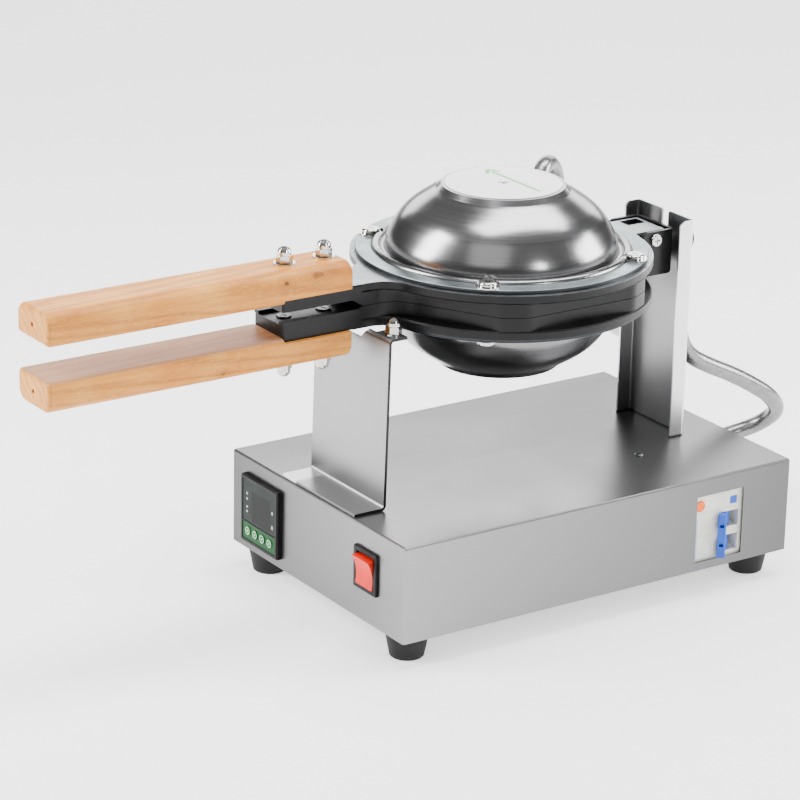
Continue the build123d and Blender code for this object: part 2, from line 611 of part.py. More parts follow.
def lower_casting():
    """Mirror of the upper leaf, with a lug that the hinge bracket is screwed to."""
    body = below(leaf_casting(TANG_WEB[0]))
    rails = block((-TANG_HALF, TANG_HALF), (TANG_END, NECK_END + 6), (up(-TANG_WEB[0]), up(-1.2)))
    rails -= block((-13.0, 13.0), (TANG_END - 1, NECK_END - 1), (up(-TANG_WEB[0]), up(0)))
    rails -= drum(MOULD_RADIUS, up(-5), up(5))
    body += rails
    lug = rear_lug(-RIM_TOP, -FACE_GAP, LUG_END)
    body += lug
    body -= drum(MOULD_RADIUS + 0.1, up(-MOULD_BACK), up(0))
    for x, z in BRACKET_SCREWS:
        body -= rod("Y", 2.0, LUG_END - 13, LUG_END + 1, x, z)
    body -= rod("Y", PIVOT_HEAD + 0.4, LUG_END - 2, LUG_END + 1, 0, AXIS_Z)
    return body - rod("X", LUG_SWING, -LUG_HALF - 2, LUG_HALF + 2, HINGE_Y, up(HINGE_RISE))


GRID_PITCH = 11.0
GROOVE = 3.2
GROOVE_DEPTH = 1.6


def leaf_mould():
    """Round baking plate with crossing grooves on the diagonal."""
    mould = drum(MOULD_RADIUS, up(LAND), up(MOULD_BACK))
    edge = MOULD_RADIUS - 7.0
    comb = Sketch()
    for i in range(-7, 8):
        offset = i * GRID_PITCH
        comb += Pos(0, offset) * Rectangle(2 * sqrt(edge ** 2 - offset ** 2), GROOVE)
    grid = Rot(0, 0, 45) * comb + Rot(0, 0, -45) * comb
    return mould - Pos(0, PAN_Y, up(LAND - GROOVE_DEPTH)) * extrude(grid, 2 * GROOVE_DEPTH)


def leaf_heater():
    """Sheathed heating element: an open ring on the plate's back, with two cold ends."""
    radius, tube = 56.0, 4.0
    level = up(MOULD_BACK + tube)
    gap = 14.0
    ring = CenterArc((0, 0), radius, 90 + gap, 360 - 2 * gap)
    path = Pos(0, PAN_Y, level) * ring
    section = Plane(origin=path @ 0, z_dir=path % 0) * Circle(tube)
    solid = sweep(section, path)
    for side in (0, 1):
        end = path @ side
        solid += Pos(end.X, end.Y, end.Z) * Sphere(tube)
        solid += drum(tube - 0.8, level, level + 12, end.X, end.Y)
    return solid


def ring_plate():
    """Flat clamp ring on the rim."""
    ring = drum(101.6, up(RIM_TOP), up(PLATE_TOP)) - drum(90.4, up(RIM_TOP - 1), up(PLATE_TOP + 1))
    ring = chamfer(ring.edges().filter_by(GeomType.CIRCLE).group_by(Axis.Z)[-1], 0.4)
    for angle in RING_SCREWS:
        x, y = ring_place(angle)
        ring -= drum(2.1, up(0), up(30), x, y)
    return ring


def ring_screws():
    """Round-headed screws on broad washers; each washer also holds the cover's bead."""
    solids = []
    for angle in RING_SCREWS:
        x, y = ring_place(angle)
        seat = up(PLATE_TOP)
        solids.append(washer(WASHER_RADIUS, 2.1, seat, seat + 0.8, x, y))
        screw = pan_head(6.4, 3.0, 1.95, 9)
        solids.append(Pos(x, y, seat + 0.8) * screw)
    return group(solids)


COVER_SHEET = 0.8
COVER_TOP = 63.2
HOSE_RADIUS = 6.0
HOSE_ANGLE = 124.0           # round the pan, from +X
HOSE_EXIT = (69.0, 42.8)     # radius and height where the hose leaves the cover
HOSE_TILT = 45.0             # of its start above level
HOSE_BOSS = 112.0            # radius of the boss on the rim where it ends
HOSE_ROUTE = [
    (HOSE_EXIT[0] + 6 * cos(radians(HOSE_TILT)), HOSE_EXIT[1] + 6 * sin(radians(HOSE_TILT))),
    (HOSE_EXIT[0] + 17 * cos(radians(HOSE_TILT)), HOSE_EXIT[1] + 17 * sin(radians(HOSE_TILT))),
    (94.0, 55.0),
    (106.5, 45.0),
    (HOSE_BOSS, 31.0),
    (HOSE_BOSS, RIM_TOP),
]


def hose_line(start, end, radius):
    """Cylinder along the start of the hose, from one distance to another off the cover."""
    middle = (start + end) / 2
    turn, tilt = radians(HOSE_ANGLE), radians(HOSE_TILT)
    r = HOSE_EXIT[0] + middle * cos(tilt)
    place = Pos(r * cos(turn), PAN_Y + r * sin(turn), up(HOSE_EXIT[1] + middle * sin(tilt)))
    return place * Rot(0, 0, HOSE_ANGLE) * Rot(0, 90 - HOSE_TILT, 0) * Cylinder(radius, end - start)


def leaf_cover():
    """Spun cover over the heater: rolled bead, bulged wall, bevelled crown."""
    with BuildSketch(Plane.XZ) as section:
        with BuildLine():
            bead = ThreePointArc((88.8, RIM_TOP + 0.4), (87.0, 20.6), (84.6, 18.6))
            valley = ThreePointArc(bead @ 1, (82.6, 16.8), (80.5, 19.2))
            wall = Spline(valley @ 1, (79.3, 26.0), (76.0, 33.0), (70.0, 42.0), (60.0, 51.0),
                          (50.0, 57.5), (46.4, 59.6), tangents=[(-0.1, 1), (-1, 0.55)])
            Polyline(wall @ 1, (43.0, COVER_TOP), (0, COVER_TOP))
        trace(line_width=COVER_SHEET)
    half = split(section.sketch, bisect_by=Plane.YZ, keep=Keep.TOP)
    cover = Pos(0, PAN_Y, up(0)) * revolve(half, Axis.Z)
    for angle in RING_SCREWS:
        cover -= drum(WASHER_RADIUS + 0.3, up(PLATE_TOP - 0.05), up(30), *ring_place(angle))
    return cover - hose_line(-10, 20, 8.0)


def direction_label():
    """Round label on the crown, with a hole at its centre."""
    top = up(COVER_TOP + COVER_SHEET / 2)
    return drum(40.5, top, top + 0.5) - drum(3.6, top - 1, top + 2)


def crown_rivet():
    top = up(COVER_TOP + COVER_SHEET / 2)
    return spin([(0, 0), (3.0, 0), (2.7, 0.6), (1.6, 1.0), (0, 1.1)], z=top)


# ---------------------------------------------------------------- handles
def handle():
    """Upper wooden handle: rounded bar, rebated where the tang's lips hold it."""
    wide, low, high = HANDLE_HALF, HANDLE_SEAT, HANDLE_TOP
    with BuildSketch(Plane.XZ) as section:
        with BuildLine():
            Polyline((-wide, high), (-wide, low), (wide, low), (wide, high), close=True)
        make_face()
        fillet(section.vertices().sort_by(Axis.Y)[-2:], 9.0)
        fillet(section.vertices().sort_by(Axis.Y)[:2], 3.5)
    bar = Pos(0, HANDLE_FRONT, AXIS_Z) * extrude(section.sketch, HANDLE_REAR - HANDLE_FRONT, dir=(0, 1, 0))
    bar = fillet(bar.faces().sort_by(Axis.Y)[0].edges(), 3.0)
    bar = chamfer(bar.faces().sort_by(Axis.Y)[-1].edges(), 1.0)
    for side in (-1, 1):
        x = sorted((side * (TANG_HALF - TANG_WALL - 0.1), side * (HANDLE_HALF + 5)))
        bar -= block(x, (TANG_END - 0.3, HANDLE_REAR + 1), (up(0), up(TANG_LIP + 0.1)))
    bar -= rod("Y", 1.6, HANDLE_FRONT - 1, HANDLE_FRONT + 14, 0, up(22.5))
    for y in HANDLE_BOLTS:
        bar -= drum(3.1, up(0), up(50), 0, y)
    return bar


def handle_bolts(head_seat):
    """M6 low-head bolts from the parting side, with washers and domed nuts on the wood."""
    solids = []
    for y in HANDLE_BOLTS:
        bolt = pan_head(5.2, 1.0, 2.95, HANDLE_TOP + 5.6 - head_seat)
        solids.append(Pos(0, y, up(head_seat)) * Rot(180, 0, 0) * bolt)
        solids.append(washer(7.4, 3.1, up(HANDLE_TOP), up(HANDLE_TOP + 1.0), 0, y))
        solids.append(acorn_nut(0, y, up(HANDLE_TOP + 1.0)))
    return group(solids)


# ---------------------------------------------------------------- hinge and pivot
BRACKET_FRONT = BASE_Y + 92.5
BRACKET_WEB = BASE_Y + 119.5      # middle of the bracket's web
BRACKET_RISE = 16.2
BRACKET_CORNER = 5.0
BRACKET_SCREWS = [(-11.0, up(-10.0)), (11.0, up(-10.0))]
PIVOT_HEAD = 5.5                  # radius
ELBOW_SCREW_Z = AXIS_Z - 14.5
ELBOW_Y = (POST_Y + POST_SHEET / 2, POST_Y + 24.0)
ELBOW_EXIT = POST_Y + 14.5


def hinge_bracket():
    """Folded bracket: two cheeks beside the lugs and a web that carries the pivot."""
    middle = CHEEK_OUT - BRACKET_SHEET / 2
    with BuildSketch(Plane.XY.offset(up(-BRACKET_RISE))) as plan:
        with BuildLine():
            FilletPolyline((-middle, BRACKET_FRONT), (-middle, BRACKET_WEB), (middle, BRACKET_WEB),
                           (middle, BRACKET_FRONT), radius=3.0)
        trace(line_width=BRACKET_SHEET)
    bracket = extrude(plan.sketch, 2 * BRACKET_RISE)
    ends = bracket.edges().filter_by(Axis.X).filter_by(lambda e: abs(e.center().Y - BRACKET_FRONT) < 0.1)
    bracket = fillet(ends, 6.0)
    bracket -= rod("X", HINGE_PIN + 0.02, -40, 40, HINGE_Y, up(HINGE_RISE))
    rear, low = BRACKET_WEB + BRACKET_SHEET / 2, up(-BRACKET_RISE)
    corner = block((-40, 40), (rear - BRACKET_CORNER, rear + 1), (low - 1, low + BRACKET_CORNER))
    bracket -= corner - rod("X", BRACKET_CORNER, -41, 41, rear - BRACKET_CORNER, low + BRACKET_CORNER)
    for x, z in BRACKET_SCREWS:
        bracket -= rod("Y", 2.1, BRACKET_WEB - 5, BRACKET_WEB + 5, x, z)
    return bracket - rod("Y", SHAFT + 0.02, BRACKET_WEB - 5, BRACKET_WEB + 5, 0, AXIS_Z)


def hinge_pin():
    """Pin with a crossed head on the right and a riveted head on the left."""
    reach = CHEEK_OUT
    pin = rod("X", HINGE_PIN, -reach - 0.1, reach + 0.1, HINGE_Y, up(HINGE_RISE))
    right = Pos(reach, HINGE_Y, up(HINGE_RISE)) * Rot(0, 90, 0) * pan_head(4.8, 2.4, 2.0, 1)
    left = Pos(-reach, HINGE_Y, up(HINGE_RISE)) * Rot(0, -90, 0) * pan_head(4.8, 2.4, 2.0, 1)
    return pin + right + left


def bracket_screws():
    """Screws from behind, through the web into the lower leaf's lug."""
    seat = BRACKET_WEB + BRACKET_SHEET / 2
    screw = Rot(-90, 0, 0) * pan_head(3.8, 2.0, 1.95, 14)
    return group(Pos(x, seat, z) * screw for x, z in BRACKET_SCREWS)


def pivot_shaft():
    """Hollow pivot: flat head, collar in front of the slot, and its tail in the elbow."""
    front = BRACKET_WEB - BRACKET_SHEET / 2
    shaft = rod("Y", SHAFT, front - 1.0, POST_Y + 12.0, 0, AXIS_Z)
    shaft += rod("Y", PIVOT_HEAD, front - 1.0, front, 0, AXIS_Z)
    shaft += rod("Y", 7.0, BRACKET_WEB + BRACKET_SHEET / 2, POST_Y - POST_SHEET / 2 - 0.1, 0, AXIS_Z)
    return shaft - rod("Y", 2.2, front - 6, POST_Y + 14, 0, AXIS_Z)


def conduit_elbow():
    """Cast elbow behind the post: it keeps the pivot in the slot and turns the leads down."""
    y0, y1 = ELBOW_Y
    body = rod("Y", 9.5, y0 + 0.1, y1 - 2, 0, AXIS_Z)
    body = fillet(body.edges().sort_by(Axis.Y)[-1], 5)
    body += drum(8.0, CONDUIT_TOP, AXIS_Z, 0, ELBOW_EXIT)
    tongue = block((-6, 6), (y0 + 0.1, y0 + 2.6), (AXIS_Z - 20, AXIS_Z))
    body += fillet(tongue.edges().filter_by(Axis.Y).group_by(Axis.Z)[0], 4)
    body -= rod("Y", SHAFT + 0.08, y0 - 1, POST_Y + 13.0, 0, AXIS_Z)
    body -= drum(4.4, CONDUIT_TOP - 1, AXIS_Z - 2, 0, ELBOW_EXIT)
    return body - rod("Y", 1.8, y0 - 2, y0 + 6, 0, ELBOW_SCREW_Z)


def elbow_screw():
    """Screw through the elbow's tongue and the post's web, with its nut."""
    screw = Pos(0, ELBOW_Y[0] + 2.6, ELBOW_SCREW_Z) * Rot(-90, 0, 0) * pan_head(3.4, 2.0, 1.75, 7)
    nut_y = POST_Y - POST_SHEET / 2
    nut = Pos(0, nut_y, ELBOW_SCREW_Z) * Rot(90, 0, 0) * extrude(RegularPolygon(5.5 / sqrt(3), 6), 2.2)
    nut -= rod("Y", 1.8, nut_y - 5, nut_y + 1, 0, ELBOW_SCREW_Z)
    return group([screw, nut])


# ---------------------------------------------------------------- armoured conduits
CONDUIT_RADIUS = 6.1
CONDUIT_TOP = AXIS_Z - 22.0
CONDUIT_ROUTE = [
    (0.0, ELBOW_EXIT, CONDUIT_TOP),
    (0.0, ELBOW_EXIT, AXIS_Z - 45.0),
    (0.0, POST_Y + 15.7, AXIS_Z - 69.3),
    (0.0, POST_Y + 25.6, AXIS_Z - 90.5),
    (0.0, POST_Y + 46.0, AXIS_Z - 102.1),
    (0.0, POST_Y + 67.4, AXIS_Z - 112.2),
    (0.0, POST_Y + 88.0, AXIS_Z - 123.9),
    (0.0, POST_Y + 107.8, AXIS_Z - 136.9),
    (-7.0, POST_Y + 123.2, AXIS_Z - 153.0),
    (-23.8, POST_Y + 121.9, AXIS_Z - 168.7),
    (GLAND_X, POST_Y + 105.7, GLAND_Z + 1.5),
    (GLAND_X, REAR + 51.2, GLAND_Z + 0.6),
    (GLAND_X, REAR + 32.2, GLAND_Z),
    (GLAND_X, REAR + 14.0, GLAND_Z),
]


def corner_radii(route):
    """Largest tangent arc that each corner's two runs allow."""
    points = [Vector(*p) for p in route]
    radii = []
    for a, b, c in zip(points, points[1:], points[2:]):
        before, after = b - a, c - b
        half_turn = radians(before.get_angle(after)) / 2
        radii.append(0.45 * min(before.length, after.length) / tan(half_turn))
    return radii


def tube(route, radius):
    """Round tube along straight runs joined by tangent arcs."""
    radii = corner_radii(route)
    path = FilletPolyline(*route, radius=radii)
    section = Plane(origin=path @ 0, z_dir=path % 0) * Circle(radius)
    solid = sweep(section, path)
    length = path.length
    print("tube", round(length, 1), "mm, radii", [round(r, 1) for r in radii],
          "volume ratio", round(solid.volume / (3.14159265 * radius ** 2 * length), 4))
    return solid


def conduit():
    return tube(CONDUIT_ROUTE, CONDUIT_RADIUS)


def conduit_gland():
    """Hexagonal gland on the rear panel, with a ferrule over the conduit's end."""
    body = rod("Y", 7.8, REAR - 12, REAR + 14, GLAND_X, GLAND_Z)
    body += Pos(GLAND_X, REAR, GLAND_Z) * Rot(-90, 0, 0) * extrude(RegularPolygon(11.5, 6), 8)
    body += rod("Y", 9.0, REAR + 8, REAR + 14, GLAND_X, GLAND_Z)
    body += Pos(GLAND_X, REAR - SHEET, GLAND_Z) * Rot(90, 0, 0) * extrude(RegularPolygon(11.5, 6), 4)
    return body - rod("Y", 4.4, REAR - 14, REAR + 16, GLAND_X, GLAND_Z)


def mains_gland():
    """Black cable gland for the mains lead."""
    body = rod("Y", 6.0, REAR - 10, REAR + 6, INLET_X, INLET_Z)
    body += Pos(INLET_X, REAR, INLET_Z) * Rot(-90, 0, 0) * extrude(RegularPolygon(10.0, 6), 5)
    body += rod("Y", 7.4, REAR + 5, REAR + 12, INLET_X, INLET_Z)
    body += Pos(INLET_X, REAR - SHEET, INLET_Z) * Rot(90, 0, 0) * extrude(RegularPolygon(10.0, 6), 4)
    return body - rod("Y", 4.0, REAR - 12, REAR + 14, INLET_X, INLET_Z)


def heater_hose():
    """Short armoured hose that takes the heater's leads over the ring, and its sleeve."""
    turn = radians(HOSE_ANGLE)
    route = [(r * cos(turn), PAN_Y + r * sin(turn), up(h)) for r, h in HOSE_ROUTE]
    sleeve = hose_line(-4, 6, 7.95) - hose_line(-6, 8, 4.4)
    return group([tube(route, HOSE_RADIUS), sleeve])


def build():
    """Every node by name."""
    nodes = {
        "base_shell": base_shell(),
        "bottom_plate": bottom_plate(),
        "rubber_feet": rubber_feet(),
        "foot_screws": foot_screws(),
        "bottom_screws": bottom_screws(),
        "front_support": front_support(),
        "guide_nuts": guide_nuts(),
        "rear_support": rear_support(),
        "post_screws": post_screws(),
        "side_tab": side_tab(),
        "controller_housing": controller_housing(),
        "controller_bezel": controller_bezel(),
        "controller_window": controller_window(),
        "key_strip": key_strip(),
        "rocker_housing": rocker_housing(),
        "rocker_paddle": rocker_paddle(),
        "breaker_body": breaker_body(),
        "breaker_toggle": breaker_toggle(),
        "breaker_test_button": breaker_test_button(),
        "breaker_indicator": breaker_indicator(),
        "din_rail": din_rail(),
        "rail_screw": rail_screw(),
        "relay_heat_sink": power_relay(),
        "power_relay": relay_block(),
        "terminal_block": terminal_block(),
        "terminal_screws": terminal_screws(),
        "hinge_bracket": hinge_bracket(),
        "hinge_pin": hinge_pin(),
        "bracket_screws": bracket_screws(),
        "pivot_shaft": pivot_shaft(),
        "conduit_elbow": conduit_elbow(),
        "elbow_screw": elbow_screw(),
        "conduit": conduit(),
        "conduit_gland": conduit_gland(),
        "mains_gland": mains_gland(),
        "upper_casting": upper_casting(),
        "lower_casting": lower_casting(),
        "direction_label": direction_label(),
        "crown_rivet": crown_rivet(),
    }
    for index in range(4):
        nodes[f"controller_key_{index + 1}"] = controller_key(index)
    leaf = {
        "mould": leaf_mould(),
        "heater": leaf_heater(),
        "ring_plate": ring_plate(),
        "ring_screws": ring_screws(),
        "cover": leaf_cover(),
        "heater_hose": heater_hose(),
        "handle": handle(),
    }
    for name, shape in leaf.items():
        nodes[f"upper_{name}"] = shape
        nodes[f"lower_{name}"] = below(shape)
    nodes["upper_handle_bolts"] = handle_bolts(5.6)
    nodes["lower_handle_bolts"] = below(handle_bolts(TANG_WEB[0]))
    return nodes


os.makedirs("parts", exist_ok=True)
for name, shape in build().items():
    export_step(shape, f"parts/{name}.step")
    print(name, len(shape.solids()), round(shape.volume))
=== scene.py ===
"""Looks of the waffle baker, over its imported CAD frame. Metres, +Z up."""
import math

import bpy
from mathutils import Matrix, Vector


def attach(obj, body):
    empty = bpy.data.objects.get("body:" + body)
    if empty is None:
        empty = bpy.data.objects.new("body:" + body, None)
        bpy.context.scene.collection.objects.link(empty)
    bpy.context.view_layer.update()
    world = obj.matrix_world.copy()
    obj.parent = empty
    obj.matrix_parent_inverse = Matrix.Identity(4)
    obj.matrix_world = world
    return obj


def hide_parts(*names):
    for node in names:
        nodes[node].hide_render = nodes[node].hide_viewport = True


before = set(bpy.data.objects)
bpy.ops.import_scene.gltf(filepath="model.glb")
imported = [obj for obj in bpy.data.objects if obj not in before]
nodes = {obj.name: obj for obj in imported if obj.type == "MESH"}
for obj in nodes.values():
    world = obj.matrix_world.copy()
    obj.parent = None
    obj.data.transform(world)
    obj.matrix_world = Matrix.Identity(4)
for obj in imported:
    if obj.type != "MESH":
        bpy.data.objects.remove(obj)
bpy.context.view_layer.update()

AXIS_Z = 0.226               # turning axis and parting plane
PAN = Vector((0.0, 0.086, AXIS_Z))
FRONT = -0.064               # front face of the base
SIDE = 0.110                 # right face of the base
REAR = 0.266
BASE_TOP = 0.088
POST_EDGE = 0.0457           # half the width of the front support
POST_TOP = 0.2098            # top of the front support
FLANGE = 0.0314              # outer faces of the rear post's flanges
CONTROLLER_X = -0.0682       # middle of the controller
KEY_Z = 0.0354               # centres of its four keys
FIRST_KEY_X = -0.0826
KEY_PITCH = 0.0096


# ---------------------------------------------------------------- camera
def camera():
    azimuth, elevation, roll = (math.radians(a) for a in (55.866, 19.685, 1.212))
    back = Vector((math.sin(azimuth) * math.cos(elevation),
                   -math.cos(azimuth) * math.cos(elevation), math.sin(elevation)))
    right = (-back).cross(Vector((0, 0, 1))).normalized()
    up = right.cross(-back)
    turned = right * math.cos(roll) + up * math.sin(roll)
    raised = up * math.cos(roll) - right * math.sin(roll)
    cam = bpy.data.objects.new("camera", bpy.data.cameras.new("camera"))
    cam.data.lens = 150.34
    cam.data.sensor_width = 36.0
    cam.data.clip_end = 50
    place = Matrix((turned, raised, back)).transposed().to_4x4()
    place.translation = Vector((1.793374, -1.211859, 0.921155))
    cam.matrix_world = place
    bpy.context.scene.collection.objects.link(cam)
    bpy.context.scene.camera = cam


camera()


# ---------------------------------------------------------------- material helpers
class Paint:
    """A node material with a Principled shader and short ways to feed it."""

    def __init__(self, name, color, metallic=0.0, roughness=0.5, **sockets):
        self.mat = bpy.data.materials.new(name)
        self.mat.use_nodes = True
        self.tree = self.mat.node_tree
        self.shader = self.tree.nodes["Principled BSDF"]
        self.shader.inputs["Base Color"].default_value = (*color, 1)
        self.shader.inputs["Metallic"].default_value = metallic
        self.shader.inputs["Roughness"].default_value = roughness
        for key, value in sockets.items():
            self.shader.inputs[key.replace("_", " ")].default_value = value
        self.height = None
        self.tone = None

    def node(self, kind, **inputs):
        made = self.tree.nodes.new(kind)
        for key, value in inputs.items():
            self.feed(value, made.inputs[key])
        return made

    def feed(self, value, socket):
        if isinstance(value, bpy.types.NodeSocket):
            self.tree.links.new(value, socket)
        else:
            socket.default_value = value

    def place(self, scale=(1, 1, 1), turn=(0, 0, 0), move=(0, 0, 0)):
        """The piece's own coordinates, stretched."""
        source = self.node("ShaderNodeTexCoord").outputs["Object"]
        mapping = self.node("ShaderNodeMapping", Vector=source)
        mapping.inputs["Scale"].default_value = scale
        mapping.inputs["Rotation"].default_value = turn
        mapping.inputs["Location"].default_value = move
        return mapping.outputs["Vector"]

    def noise(self, vector, scale, detail=3.0, roughness=0.5, distortion=0.0):
        made = self.node("ShaderNodeTexNoise", Vector=vector, Scale=scale, Detail=detail,
                         Roughness=roughness, Distortion=distortion)
        return made.outputs["Fac"]

    def span(self, value, low, high, out_low=0.0, out_high=1.0):
        made = self.node("ShaderNodeMapRange")
        self.feed(value, made.inputs["Value"])
        for key, number in (("From Min", low), ("From Max", high), ("To Min", out_low), ("To Max", out_high)):
            made.inputs[key].default_value = number
        return made.outputs["Result"]

    def length(self, vector):
        made = self.tree.nodes.new("ShaderNodeVectorMath")
        made.operation = "LENGTH"
        self.feed(vector, made.inputs[0])
        return made.outputs["Value"]

    def absolute(self, value):
        made = self.tree.nodes.new("ShaderNodeMath")
        made.operation = "ABSOLUTE"
        self.feed(value, made.inputs[0])
        return made.outputs[0]

    def inside(self, value, low, high, edge=0.00015):
        """One between two places, zero outside them."""
        rise = self.span(value, low - edge, low + edge)
        fall = self.span(value, high - edge, high + edge, 1.0, 0.0)
        return self.sum(rise, fall, "MULTIPLY")

    def sum(self, a, b, kind="ADD"):
        made = self.tree.nodes.new("ShaderNodeMath")
        made.operation = kind
        self.feed(a, made.inputs[0])
        self.feed(b, made.inputs[1])
        return made.outputs[0]

    def blend(self, factor, a, b, kind="MIX"):
        made = self.tree.nodes.new("ShaderNodeMix")
        made.data_type = "RGBA"
        made.blend_type = kind
        self.feed(factor, made.inputs["Factor"])
        for value, key in ((a, "A"), (b, "B")):
            socket = [s for s in made.inputs if s.name == key and s.type == "RGBA"][0]
            self.feed((*value, 1) if isinstance(value, tuple) and len(value) == 3 else value, socket)
        return [s for s in made.outputs if s.type == "RGBA"][0]

    def axis(self, name, vector=None):
        """One coordinate of the piece's own place, in metres."""
        vector = vector or self.node("ShaderNodeTexCoord").outputs["Object"]
        return self.node("ShaderNodeSeparateXYZ", Vector=vector).outputs[name]

    def color(self, value):
        self.feed(value, self.shader.inputs["Base Color"])
        return self

    def rough(self, value):
        self.feed(value, self.shader.inputs["Roughness"])
        return self

    def metal(self, value):
        self.feed(value, self.shader.inputs["Metallic"])
        return self

    def bump(self, height, distance, strength=1.0):
        """Adds one more layer of relief, its distance in metres."""
        made = self.node("ShaderNodeBump", Height=height, Distance=distance, Strength=strength)
        if self.height is not None:
            self.tree.links.new(self.height, made.inputs["Normal"])
        self.height = made.outputs["Normal"]
        self.tree.links.new(self.height, self.shader.inputs["Normal"])
        return self


def brushed(name, color, grain, roughness=0.3, depth=0.000004, streak=0.05):
    """Satin sheet metal brushed along one direction: grain is the stretch of each axis."""
    paint = Paint(name, color, metallic=1.0, roughness=roughness)
    fine = paint.noise(paint.place(scale=grain), 900.0, 2.0, 0.6)
    cloud = paint.noise(paint.place(), 9.0, 3.0, 0.5)
    tone = paint.span(fine, 0.3, 0.7, 1.0 - streak, 1.0)
    paint.tone = paint.blend(1.0, color, paint.node("ShaderNodeCombineColor", Red=tone, Green=tone,
                                                    Blue=tone).outputs["Color"], "MULTIPLY")
    paint.color(paint.tone)
    paint.rough(paint.sum(paint.span(cloud, 0.3, 0.7, roughness - 0.03, roughness + 0.03),
                          paint.span(fine, 0.3, 0.7, -0.02, 0.03)))
    paint.bump(fine, depth, 0.4)
    return paint


def base_steel():
    """Satin steel of the box with a painted reflection gradient: palest at its front right corner, greyer to
    the left and the rear.
    """
    paint = brushed("steel of the base", (0.27, 0.27, 0.272), (1, 0.02, 1), 0.32)
    # painted reflection: the steel's colour darkens from the front right corner to the left and to the rear
    across = paint.span(paint.axis("X"), -SIDE, SIDE, 0.16, 1.0)
    along = paint.span(paint.axis("Y"), FRONT, REAR, 1.0, 0.30)
    painted_reflection_falloff = paint.sum(across, along, "MULTIPLY")
    paint.color(paint.blend(painted_reflection_falloff, (0.060, 0.060, 0.063), paint.tone))
    return paint.mat


def front_steel():
    """Sheet of the front support: painted highlights along its bends and on its foot plate, painted shade low
    on the upright and on the foot, dark on its cut edges.
    """
    paint = brushed("steel of the front support", (0.30, 0.30, 0.304), (1, 1, 0.02), 0.34)
    height = paint.axis("Z")
    # painted shade: the upright is darker just above the base
    low = paint.span(height, BASE_TOP + 0.003, BASE_TOP + 0.027, 0.6, 0.0)
    tone = paint.blend(low, paint.tone, (0.20, 0.20, 0.203))
    # painted shade on the foot plate from X -27 mm to the right
    painted_foot_shade = paint.span(paint.axis("X"), -0.030, -0.027, 0.0, 1.0)
    plate = paint.span(height, BASE_TOP + 0.0019, BASE_TOP + 0.0022, 1.0, 0.0)
    painted_foot_shade = paint.sum(painted_foot_shade, plate, "MULTIPLY")
    # painted highlight: the rest of the foot plate is painted pale
    tone = paint.blend(plate, tone, (0.75, 0.75, 0.755))
    tone = paint.blend(painted_foot_shade, tone, (0.14, 0.14, 0.145))
    # painted highlight: near-white bands along the lower and the upper bend
    painted_bend_highlight = paint.sum(paint.inside(height, BASE_TOP + 0.0022, BASE_TOP + 0.0036),
                     paint.inside(height, POST_TOP - 0.0020, POST_TOP - 0.0005), "MAXIMUM")
    tone = paint.blend(painted_bend_highlight, tone, (0.95, 0.95, 0.95))
    cut = paint.span(paint.absolute(paint.axis("X")), POST_EDGE - 0.00025, POST_EDGE - 0.0001)
    paint.color(paint.blend(cut, tone, (0.030, 0.030, 0.032)))
    return paint.mat


def post_steel():
    """Sheet of the rear post: a greyer web between flanges with a painted highlight, and a painted shadow
    line along its foot.
    """
    paint = brushed("steel of the rear post", (0.26, 0.26, 0.265), (1, 1, 0.02), 0.30)
    # painted highlight on the flanges' outer faces, which face the light
    painted_flange_highlight = paint.span(paint.absolute(paint.axis("X")), FLANGE - 0.0008, FLANGE - 0.0002)
    tone = paint.blend(painted_flange_highlight, paint.tone, (0.72, 0.72, 0.725))
    # painted shade: a dark line where the post stands on the base
    painted_foot_shade = paint.span(paint.axis("Z"), BASE_TOP + 0.0005, BASE_TOP + 0.0020, 1.0, 0.0)
    paint.color(paint.blend(painted_foot_shade, tone, (0.06, 0.06, 0.062)))
    return paint.mat


def plain_metal(name, color, roughness, scale=500.0, depth=0.00002):
    """Small turned or plated hardware: faint wear, no direction."""
    paint = Paint(name, color, metallic=1.0, roughness=roughness)
    wear = paint.noise(paint.place(), scale, 4.0, 0.6)
    spot = paint.noise(paint.place(), scale / 6, 3.0, 0.6)
    paint.color(paint.blend(paint.span(spot, 0.35, 0.7), tuple(c * 0.82 for c in color), color))
    paint.rough(paint.span(wear, 0.3, 0.75, roughness * 0.7, roughness * 1.5))
    paint.bump(wear, depth, 0.3)
    return paint.mat


def moulded(name, color, roughness=0.45, grain=1400.0, depth=0.00003, coat=0.0, spread=0.12,
             shine=0.3):
    """Moulded plastic or rubber with a fine grain and slight mottling."""
    paint = Paint(name, color, roughness=roughness, Coat_Weight=coat, Specular_IOR_Level=shine)
    fine = paint.noise(paint.place(), grain, 3.0, 0.6)
    broad = paint.noise(paint.place(), 70.0, 4.0, 0.6)
    light = tuple(min(1.0, c * (1 + spread) + 0.002) for c in color)
    paint.color(paint.blend(paint.span(broad, 0.35, 0.65), tuple(c * (1 - spread) for c in color), light))
    paint.rough(paint.sum(paint.span(broad, 0.3, 0.7, roughness - 0.06, roughness + 0.06),
                          paint.span(fine, 0.3, 0.7, -0.03, 0.03)))
    paint.bump(fine, depth, 0.4)
    return paint.mat


# ---------------------------------------------------------------- metals of the stand and the pan
zinc = plain_metal("zinc plate", (0.55, 0.55, 0.54), 0.32)
nickel = plain_metal("bright nickel", (0.60, 0.59, 0.57), 0.10, 300.0, 0.000005)
screw_steel = plain_metal("screw steel", (0.62, 0.62, 0.61), 0.22)
dull_screw = plain_metal("dull screw", (0.16, 0.16, 0.16), 0.3)
hose_steel = plain_metal("hose steel", (0.24, 0.24, 0.245), 0.30, 900.0, 0.00002)
heater_steel = plain_metal("heater sheath", (0.30, 0.27, 0.25), 0.42)
brass = plain_metal("brass", (0.72, 0.53, 0.25), 0.30)


